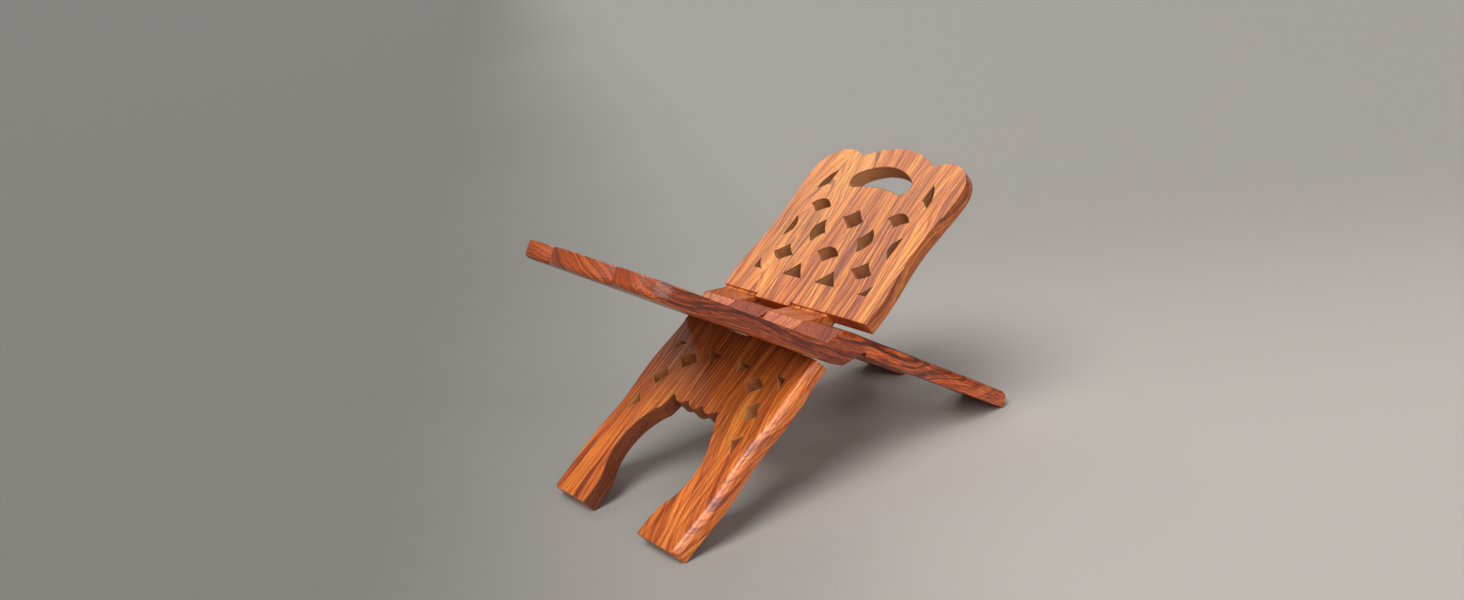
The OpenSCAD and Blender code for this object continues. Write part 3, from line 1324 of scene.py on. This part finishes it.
@dataclass(frozen=True)
class Legs:
    """The lower half of a leaf: two legs round a scalloped arch. Sizes in mm."""

    plank: Plank
    cut: float
    half: float = 71.5
    wave: float = 1.1
    wave_len: float = 65.0
    swell_v: float = 53.0
    round_over: float = 5.2
    inner_ease: float = 0.8
    edge_ease: float = 0.6
    arch_r: float = 37.8
    arch_c_u: float = 3.6
    arch_c_v: float = 109.0
    arch_low: float = -28.0
    arch_steps: int = 30
    ankle: Point = (31.0, 7.0)
    knee: Point = (31.6, 14.0)
    knee_hollow: float = 0.8
    knee_steps: int = 6
    foot_bevel: float = 1.2
    foot_corner: float = 1.7
    outer_band: float = 3.0
    side_steps: int = 32
    cusp_notch: Point = (1.4, 0.2)
    foot_half: float = 30.83
    tooth_a_v: float = 79.6
    tooth_b_v: float = 86.0
    valance_v: float = 69.6
    cusps: tuple[float, ...] = (-23.2, -7.9, 7.2, 22.4)
    sags: tuple[float, ...] = (3.3, 4.1, 3.3)
    scallop_steps: int = 10
    pairs: tuple[tuple[Corner, ...], ...] = (
        ((48.3, -34.4, -0.8), (57.7, -42, 0), (57.7, -34.4, 0)),
        ((9.4, -33.8, 0.2), (14.5, -41.3, 0.2), (23.2, -33.8, 0)),
        ((26.1, -44.4, -0.4), (35.9, -51.4, -0.4), (45, -44.6, 4.6)),
        ((43.2, -58.8, -0.3), (48.6, -67.5, 0.4), (56.6, -62.4, 0), (50.1, -53.4, 0)),
        ((50.3, -81.5, -0.3), (57.4, -89.3, 0), (57.4, -75.5, -0.3)),
    )

    def edge(self, v: float) -> float:
        """Half width of the wavy legs at a height."""
        return self.half + self.wave * math.cos(2 * math.pi * (v + self.swell_v) / self.wave_len)

    def arch_side(self, tooth_v: float) -> list[Point]:
        """One round side of the arch from its foot up to its tooth.

        Args:
            tooth_v: Distance of the tooth below the hinge line.

        Returns:
            The side's points.
        """
        centre = (self.arch_c_u, -self.arch_c_v)
        tooth_a = math.degrees(math.asin((self.arch_c_v - tooth_v) / self.arch_r))
        side = arc(centre, self.arch_r, self.arch_low, tooth_a, self.arch_steps)
        foot = -self.plank.leg_v
        knee = (self.knee[0], foot + self.knee[1])
        return [
            (self.foot_half, foot),
            (self.ankle[0], foot + self.ankle[1]),
            *bowed(knee, side[0], -self.knee_hollow, self.knee_steps),
            *side,
        ]

    def valance(self) -> list[Point]:
        """Scalloped underside of the valance.

        Returns:
            Its points from right to left.
        """
        points: list[Point] = []
        for i in (2, 1, 0):
            a, b = (self.cusps[i + 1], -self.valance_v), (self.cusps[i], -self.valance_v)
            points += bowed(a, b, -self.sags[i], self.scallop_steps)
        return points

    def outline(self) -> Outline:
        """The legs' outline, arch included.

        Returns:
            The outline, with a wide round-over along its outer edges.
        """
        foot = -self.plank.leg_v
        top = -self.cut
        bevel = self.foot_bevel
        side = []
        for i in range(self.side_steps + 1):
            v = foot + bevel + (-foot - bevel - self.cut) * i / self.side_steps
            side.append((self.edge(v), v))
        inner = self.edge(foot) - self.round_over - self.foot_corner
        corner = [(inner, foot), (self.edge(foot) - bevel, foot)]
        right = [*corner, *side]
        step = self.round_over + CORNER_SPARE
        lid = [(side[-1][0] - step, top), (-side[-1][0] + step, top)]
        arch = [
            *self.arch_side(self.tooth_b_v),
            (self.cusps[3] + self.cusp_notch[0], -self.valance_v - self.cusp_notch[1]),
            *self.valance(),
            (self.cusps[0], -self.valance_v),
            (self.cusps[0] - self.cusp_notch[0], -self.valance_v - self.cusp_notch[1]),
            *mirrored(self.arch_side(self.tooth_a_v)),
        ]
        points = tidied([*right, *lid, *mirrored(right), *arch[::-1]])
        count = len(points)
        low, high, walls = [], [], []
        for i, p in enumerate(points):
            q = points[(i + 1) % count]
            on_foot = max(p[1], q[1]) < foot + LEVEL
            on_top = min(p[1], q[1]) > top - LEVEL
            outer = min(abs(p[0]), abs(q[0])) > self.edge(foot) - self.outer_band
            if on_foot or on_top:
                ease, rounded, wall = self.edge_ease, self.edge_ease, Surface.PLANED
            elif outer:
                ease, rounded, wall = self.inner_ease, self.round_over, Surface.PLANED
            else:
                ease, rounded, wall = self.edge_ease, self.edge_ease, Surface.ARCH
            low.append(ease)
            high.append(rounded)
            walls.append(wall)
        return Outline(points, low, high, walls)

    def piercings(self) -> list[Outline]:
        """The carved pattern of small openings.

        Returns:
            Their outlines, the pairs on one side first.
        """
        shapes = [cut_out(c, FRET_STEPS) for c in self.pairs]
        shapes += [mirrored(s) for s in shapes]
        return [fretted(s) for s in shapes]

    def build(self, name: str) -> bpy.types.Object:
        """Makes the legs.

        Args:
            name: Name of the object.

        Returns:
            The legs, lying flat.
        """
        lines = [self.outline(), *self.piercings()]
        return slab(name, lines, self.plank.split_gap / 2, self.plank.leaf_t, seed=5)


@dataclass(frozen=True)
class Knuckles:
    """A leaf's own knuckles, left in the solid wood between the saw cuts. Sizes in mm."""

    plank: Plank
    panel: BookPanel
    legs: Legs
    ridge_v: float = 4.8
    ridge_share: float = 0.88
    heel_v: float = 5.0
    toe: float = 0.75
    saw_line: float = 2.0
    lap: float = 3.0
    ridge_round: float = 1.3
    heel_round: float = 3.0
    facet_ease: float = 1.4
    hollow_ease: float = 2.4
    hidden_ease: float = 0.05
    cheek_ease: float = 0.3
    flare: float = 14.0
    round_steps: int = 4

    def section(self) -> tuple[list[Point], list[float]]:
        """The knuckle's section across the hinge.

        Returns:
            Its outline as v and w, and for each edge the ease that it has at the leaf's own end.
        """
        t, gap = self.plank.leaf_t, self.plank.split_gap / 2
        panel_cut, leg_cut = self.panel.cut, self.legs.cut
        ridge_w = self.ridge_share * t
        bevel_v = self.plank.front_cut - self.toe
        slope = ridge_w / (bevel_v - self.ridge_v)
        up = min(self.saw_line, (panel_cut - bevel_v) * slope)
        down = min(self.saw_line, (leg_cut - bevel_v) * slope)
        hidden = self.hidden_ease
        corners = [
            ((panel_cut + self.lap, -t), 0.0, hidden),
            ((panel_cut + self.lap, -gap), 0.0, hidden),
            ((panel_cut, -gap), 0.0, hidden),
            ((panel_cut, -up), 0.0, hidden),
            ((bevel_v + up / slope, -up), 0.0, self.facet_ease),
            ((self.ridge_v, ridge_w), self.ridge_round, self.hollow_ease),
            ((-self.heel_v, t), self.heel_round, self.legs.round_over),
            ((-leg_cut - self.lap, t), 0.0, hidden),
            ((-leg_cut - self.lap, gap), 0.0, hidden),
            ((-leg_cut, gap), 0.0, hidden),
            ((-leg_cut, down), 0.0, hidden),
            ((-bevel_v - down / slope, down), 0.0, self.facet_ease),
            ((-self.ridge_v, -ridge_w), self.ridge_round, self.hollow_ease),
            ((self.heel_v, -t), self.heel_round, self.panel.outer_ease),
        ]
        points: list[Point] = []
        eases: list[float] = []
        plain = [c[0] for c in corners]
        for i, (_, radius, ease) in enumerate(corners):
            radii = [0.0] * len(corners)
            radii[i] = radius
            made = filleted(plain, radii, self.round_steps)
            piece = made[i : i + self.round_steps + 1] if radius else made[i : i + 1]
            points += piece
            eases += [ease] * len(piece)
        return points, eases

    def flush(self, knuckle: bpy.types.Object) -> None:
        """Draws the leaf's own end of a knuckle out to the sides of the panel and the legs.

        Args:
            knuckle: The knuckle at the end of the row.
        """
        end = -self.plank.width / 2
        reach = self.panel.cut + self.legs.cut
        for vertex in knuckle.data.vertices:
            u, v = vertex.co.x / MM, vertex.co.y / MM
            share = min(1.0, max(0.0, (end + self.flare - u) / self.flare))
            up = min(1.0, max(0.0, (v + self.legs.cut) / reach))
            side = self.legs.edge(-self.legs.cut) * (1 - up) + self.panel.edge(self.panel.cut) * up
            vertex.co.x -= (side + end) * share * MM

    def build(self, name: str) -> list[bpy.types.Object]:
        """Makes the knuckles.

        Args:
            name: Start of the objects' names.

        Returns:
            The knuckles.
        """
        points, eases = self.section()
        half = self.plank.width / 2
        kerf = self.plank.kerf / 2
        cheek = [min(e, self.cheek_ease) for e in eases]
        walls = [Surface.PLANED] * len(points)
        made = []
        for k in range(0, self.plank.knuckles, 2):
            start = -half + k * self.plank.pitch + (0 if k == 0 else kerf)
            end = -half + (k + 1) * self.plank.pitch - kerf
            line = Outline(points, eases if k == 0 else cheek, cheek, walls)
            made.append(slab(f"{name}_{k}", [line], start, end, across=True))
        self.flush(made[0])
        return made


@dataclass
class Leaf:
    """One whole leaf: book panel, knuckles and legs in a single piece of wood. Sizes in mm."""

    name: str
    side: Side
    plank: Plank
    finishes: tuple[Rosewood, Rosewood, Rosewood]
    overrun: float = 1.8
    saw_back: float = 0.5
    saw_clear: float = 1.0
    saw_past: float = 0.02
    plane_half: float = 400.0
    plane_depth: float = 20.0
    obj: Optional[bpy.types.Object] = field(default=None, init=False)

    @property
    def cuts(self) -> tuple[float, float]:
        """Distances from the hinge line to the panel and to the legs."""
        near, far = self.plank.front_cut, self.plank.back_cut
        return (far, near) if self.side is Side.REAR else (near, far)

    def saw(self, number: int, way: int) -> bpy.types.Object:
        """Cutter for one saw cut that runs on past the knuckles.

        Args:
            number: Number of the cut, counted from the leaf's own end.
            way: 1 for the cut into the panel, -1 for the one into the legs.

        Returns:
            The cutter.
        """
        plank = self.plank
        panel_cut, leg_cut = self.cuts
        u = -plank.width / 2 + number * plank.pitch
        left, right = u - plank.kerf / 2, u + plank.kerf / 2
        if way > 0:
            edge, low, high = panel_cut, -plank.leaf_t - self.saw_clear, self.saw_past
        else:
            edge, low, high = -leg_cut, -self.saw_past, plank.leaf_t + self.saw_clear
        near, far = sorted((edge - self.saw_back * way, edge + self.overrun * way))
        flat = [(left, near), (right, near), (right, far), (left, far)]
        corners = [Vector((x, y, z)) * MM for z in (low, high) for x, y in flat]
        return block(f"saw_{number}_{way}", corners)

    def plane(self) -> bpy.types.Object:
        """Cutter that planes the feet level with the table.

        Returns:
            The cutter.
        """
        back = self.plank.stance(Side.REAR).inverted()
        h = self.plane_half
        flat = [(-h / 2, -h), (h / 2, -h), (h / 2, h), (-h / 2, h)]
        heights = (-self.plane_depth, 0.0)
        corners = [back @ (Vector((x, y, z)) * MM) for z in heights for x, y in flat]
        return block("plane", corners)

    def saws(self) -> list[bpy.types.Object]:
        """Cutters for the saw cuts and for the planed feet.

        Returns:
            The cutters.
        """
        made = [self.saw(k, way) for k in range(1, self.plank.knuckles) for way in (1, -1)]
        return [*made, self.plane()]

    def build(self) -> bpy.types.Object:
        """Makes the leaf and stands it in its place.

        Returns:
            The leaf.
        """
        panel_cut, leg_cut = self.cuts
        panel = BookPanel(self.plank, panel_cut)
        legs = Legs(self.plank, leg_cut)
        body = panel.build(self.name)
        parts = Knuckles(self.plank, panel, legs).build(self.name + "_knuckle")
        parts.append(legs.build(self.name + "_legs"))
        if self.side is Side.REAR:
            parts.append(panel.lip(self.name + "_lip"))
        tools = self.saws()
        self.dress([body, *parts, *tools])
        worked(body, parts, "UNION")
        worked(body, tools, "DIFFERENCE")
        bm = bmesh.new()
        bm.from_mesh(body.data)
        made_sound(bm)
        for face in bm.faces:
            face.smooth = True
        bm.to_mesh(body.data)
        bm.free()
        body.data.set_sharp_from_angle(angle=math.radians(SHARP_DEGREES))
        shading = body.modifiers.new("face_weight", "WEIGHTED_NORMAL")
        shading.keep_sharp = True
        shading.weight = FACE_WEIGHT
        body.data.transform(self.plank.stance(self.side))
        self.obj = body
        return body

    def dress(self, pieces: Sequence[bpy.types.Object]) -> None:
        """Gives each kind of surface its finish, before the pieces become one.

        Args:
            pieces: The pieces that the leaf is worked from, and the cutters.
        """
        stance = self.plank.stance(self.side)
        made = [finish.material(stance) for finish in self.finishes]
        for piece in pieces:
            for material in made:
                piece.data.materials.append(material)

    def fit(self, body: str, node: str, slot: str) -> None:
        """Hangs the leaf on the frame.

        Args:
            body: Body that the leaf rides on.
            node: Node that it stands for.
            slot: Material slot of the record; not used.
        """
        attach(self.obj, body)
        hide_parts(node)


# ---------------------------------------------------------------------------------------------
# The studio
# ---------------------------------------------------------------------------------------------


@dataclass(frozen=True)
class Lamp:
    """A large soft lamp far from the stand, seen from it as a round patch of light."""

    name: str
    way: Triple
    spread: float
    strength: float
    colour: Colour = (1.0, 1.0, 1.0)

    def hang(self) -> bpy.types.Object:
        """Hangs the lamp.

        Returns:
            The lamp.
        """
        light = bpy.data.lights.new(self.name, "SUN")
        light.angle = math.radians(self.spread)
        light.energy = self.strength
        light.color = self.colour
        obj = bpy.data.objects.new(self.name, light)
        bpy.context.scene.collection.objects.link(obj)
        obj.location = self.way
        obj.rotation_mode = "QUATERNION"
        obj.rotation_quaternion = (-Vector(self.way)).to_track_quat("-Z", "Y")
        return obj


@dataclass(frozen=True)
class Studio:
    """Paper floor, soft lamps and the camera. Sizes in metres, the lens in mm."""

    lamps: tuple[Lamp, ...] = (
        Lamp("key_lamp", (0.18, -0.47, 0.86), 38.0, 2.85, (1.0, 0.985, 0.965)),
        Lamp("side_lamp", (0.93, -0.22, 0.37), 44.0, 1.40, (1.0, 0.985, 0.96)),
        Lamp("wall_bounce", (-0.68, 0.16, 0.72), 40.0, 0.50, (1.0, 0.98, 0.96)),
    )
    ambient: Colour = (0.80, 0.81, 0.84)
    ambient_power: float = 0.085
    floor_radius: float = 30.0
    floor_rings: tuple[float, ...] = (0.4, 1.2, 3.0)
    floor_sides: int = 96
    lens: float = 32.63
    sensor: float = 36.0
    clip: Point = (0.02, 60.0)
    camera_place: Triple = (0.6624, -0.4395, 0.3643)
    camera_way: Triple = (-0.71537, 0.61778, -0.32649)
    camera_roll: float = -6.04
    camera_shift: float = -0.1352

    def floor(self) -> bpy.types.Object:
        """Lays the round paper floor.

        Returns:
            The floor.
        """
        bm = bmesh.new()
        middle = bm.verts.new((0, 0, 0))
        last: list[bmesh.types.BMVert] = []
        sides = self.floor_sides
        for radius in (*self.floor_rings, self.floor_radius):
            ring = []
            for i in range(sides):
                a = 2 * math.pi * i / sides
                ring.append(bm.verts.new((radius * math.cos(a), radius * math.sin(a), 0)))
            for i in range(sides):
                j = (i + 1) % sides
                if last:
                    bm.faces.new((last[i], ring[i], ring[j], last[j]))
                else:
                    bm.faces.new((middle, ring[i], ring[j]))
            last = ring
        floor = new_mesh("studio_floor", bm)
        floor.data.materials.append(Paper().material())
        return floor

    def light(self) -> None:
        """Hangs the lamps and sets the room's own light."""
        for lamp in self.lamps:
            lamp.hang()
        world = bpy.data.worlds.new("studio_air")
        world.use_nodes = True
        air = world.node_tree.nodes["Background"]
        air.inputs[0].default_value = (*self.ambient, 1.0)
        air.inputs[1].default_value = self.ambient_power
        bpy.context.scene.world = world

    def camera(self) -> bpy.types.Object:
        """Sets up the camera.

        Returns:
            The camera.
        """
        data = bpy.data.cameras.new("studio_camera")
        data.sensor_width = self.sensor
        data.lens = self.lens
        data.shift_x = self.camera_shift
        data.clip_start, data.clip_end = self.clip
        cam = bpy.data.objects.new("studio_camera", data)
        bpy.context.scene.collection.objects.link(cam)
        look = Vector(self.camera_way).to_track_quat("-Z", "Y").to_matrix().to_4x4()
        roll = Matrix.Rotation(math.radians(self.camera_roll), 4, "Z")
        cam.matrix_world = Matrix.Translation(self.camera_place) @ look @ roll
        bpy.context.scene.camera = cam
        return cam

    def build(self) -> None:
        """Sets up the whole studio."""
        self.floor()
        self.light()
        self.camera()
        bpy.context.scene.view_settings.view_transform = "Standard"
        bpy.context.scene.view_settings.look = "None"


def rear_finishes() -> tuple[Rosewood, Rosewood, Rosewood]:
    """Finishes of the rear leaf, which is the lighter wood.

    Returns:
        The finishes of the planed faces, the fretted walls and the arch walls.
    """
    planed = Rosewood("rear_planed_rosewood")
    fretted = Rosewood(
        "rear_fretted_rosewood",
        wall_tone_and_shade=(0.560, 0.340, 0.155),
        wall_tone_and_shade_share=0.72,
        roughness=0.72,
        coat=0.0,
        relief=0.0003,
        tooling=1.5,
    )
    # Painted shade: the arch walls get a near-black red, the shade that lies inside the arch.
    arch = Rosewood(
        "rear_arch_rosewood_painted_shade",
        wall_tone_and_shade=(0.100, 0.020, 0.009),
        wall_tone_and_shade_share=0.85,
        roughness=0.6,
        coat=0.08,
        relief=0.0002,
        tooling=1.0,
    )
    return planed, fretted, arch


def front_finishes() -> tuple[Rosewood, Rosewood, Rosewood]:
    """Finishes of the front leaf, which is the redder wood.

    Returns:
        The finishes of the planed faces, the fretted walls and the arch walls.
    """
    figure = {
        "shift": 5.3,
        "pith_u": 46.0,
        "pith_lean": 0.05,
        "pith_w": 3.0,
        "gold_u": -400.0,
        "heart_tone_and_shade": (1.0, 0.85, 0.75),
        "hinge_shade": (0.62, 0.44, 0.30),
    }
    shades = (
        (0.130, 0.024, 0.008),
        (0.290, 0.046, 0.010),
        (0.510, 0.086, 0.014),
        (0.700, 0.160, 0.028),
        (0.840, 0.270, 0.065),
    )
    planed = Rosewood("front_planed_rosewood", shades=shades, line=(0.065, 0.017, 0.012), **figure)
    fretted = Rosewood(
        "front_fretted_rosewood",
        shades=shades,
        wall_tone_and_shade=(0.440, 0.260, 0.115),
        wall_tone_and_shade_share=0.72,
        roughness=0.72,
        coat=0.0,
        relief=0.0003,
        tooling=1.5,
        **figure,
    )
    # Painted shade: the arch walls get a dark red, the shade that lies inside the arch.
    arch = Rosewood(
        "front_arch_rosewood_painted_shade",
        shades=shades,
        wall_tone_and_shade=(0.20, 0.045, 0.018),
        wall_tone_and_shade_share=0.6,
        roughness=0.6,
        coat=0.08,
        relief=0.0002,
        tooling=1.0,
        **figure,
    )
    return planed, fretted, arch


def main() -> None:
    """Builds the stand round the frame, then the studio."""
    logging.basicConfig(level=logging.INFO, format="%(name)s: %(message)s")
    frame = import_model()
    LOG.info("frame: %d nodes", len(frame["nodes"]))
    plank = Plank()
    leaves = (
        (Leaf("rear_leaf_carved", Side.REAR, plank, rear_finishes()), "rear_leaf"),
        (Leaf("front_leaf_carved", Side.FRONT, plank, front_finishes()), "front_leaf"),
    )
    for leaf, node in leaves:
        leaf.build()
        leaf.fit(node, node, node + "_wood")
        LOG.info("%s: %d faces", leaf.name, len(leaf.obj.data.polygons))
    Studio().build()
    LOG.info("studio is set")


if __name__ == "__main__":
    main()
